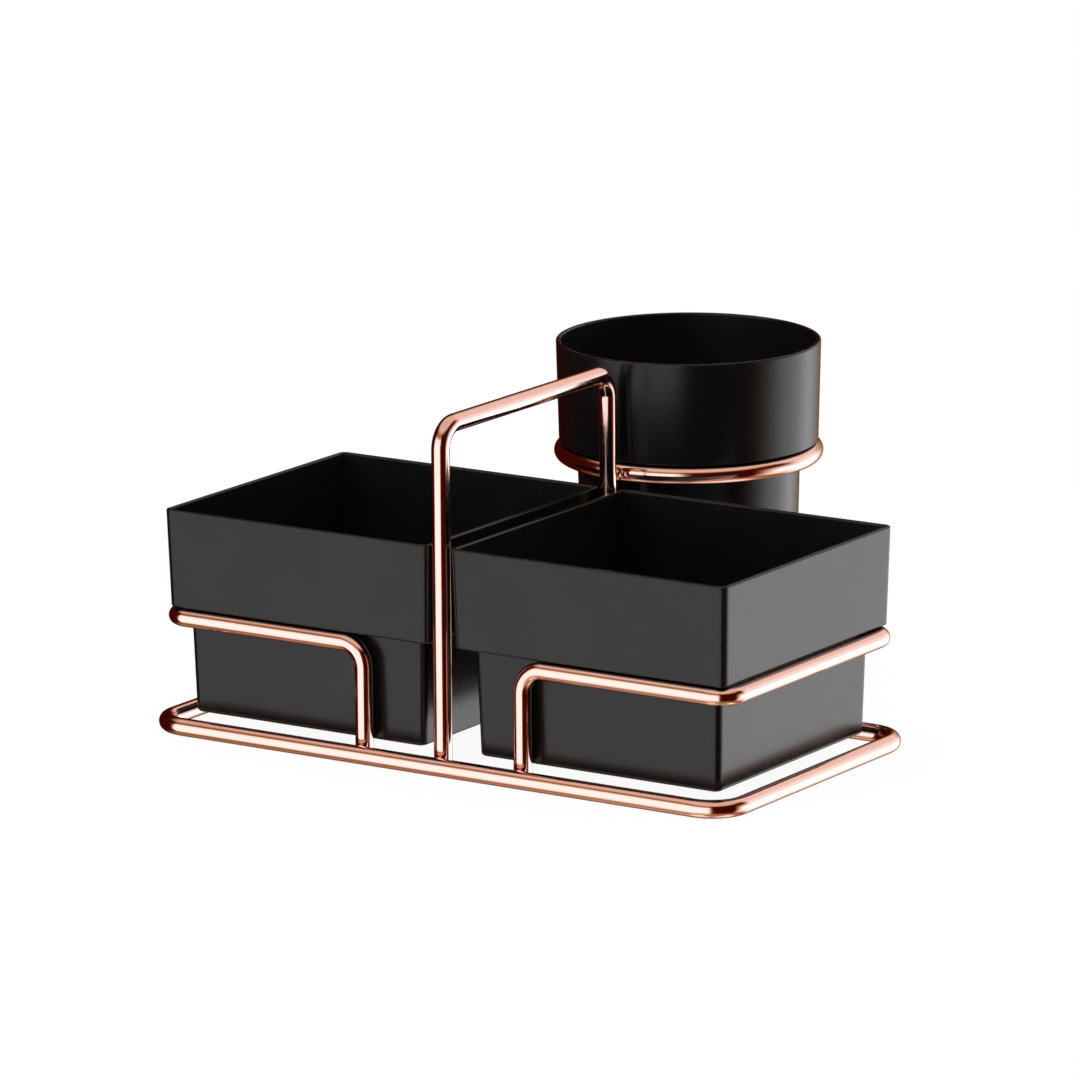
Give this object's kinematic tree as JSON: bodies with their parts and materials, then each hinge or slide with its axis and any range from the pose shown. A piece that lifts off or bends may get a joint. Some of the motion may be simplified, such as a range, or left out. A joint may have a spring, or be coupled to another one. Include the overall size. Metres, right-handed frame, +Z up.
{
  "type": "coffee station organizer",
  "caption": "Bent wire stand with a carrying handle that holds square stepped bins side by side and a round cup behind them, for sachets and stirrers.",
  "frame": {"origin": "middle of the base loop's footprint, on the table", "axes": "+X to the right along the two bins, +Y from the bins towards the cup at the back, +Z up"},
  "size_m": [0.2036, 0.1837, 0.105],
  "materials": {
    "wire": "polished rose-gold plating",
    "bin_plastic": "black, satin gloss"
  },
  "bodies": {
    "stand": {"base_loop": "wire", "left_rail": "wire", "right_rail": "wire", "handle": "wire", "cup_ring": "wire", "foot_welds": "wire", "ring_weld": "wire"},
    "left_bin": {"left_bin": "bin_plastic"},
    "right_bin": {"right_bin": "bin_plastic"},
    "cup": {"round_cup": "bin_plastic"}
  },
  "joints": [
    {"name": "left_bin_lift", "type": "slide", "parent": "stand", "child": "left_bin", "axis": [0, 0, 1], "range_m": [0, 0.105]},
    {"name": "right_bin_lift", "type": "slide", "parent": "stand", "child": "right_bin", "axis": [0, 0, 1], "range_m": [0, 0.105]},
    {"name": "cup_lift", "type": "slide", "parent": "stand", "child": "cup", "axis": [0, 0, 1], "range_m": [0, 0.07]}
  ]
}
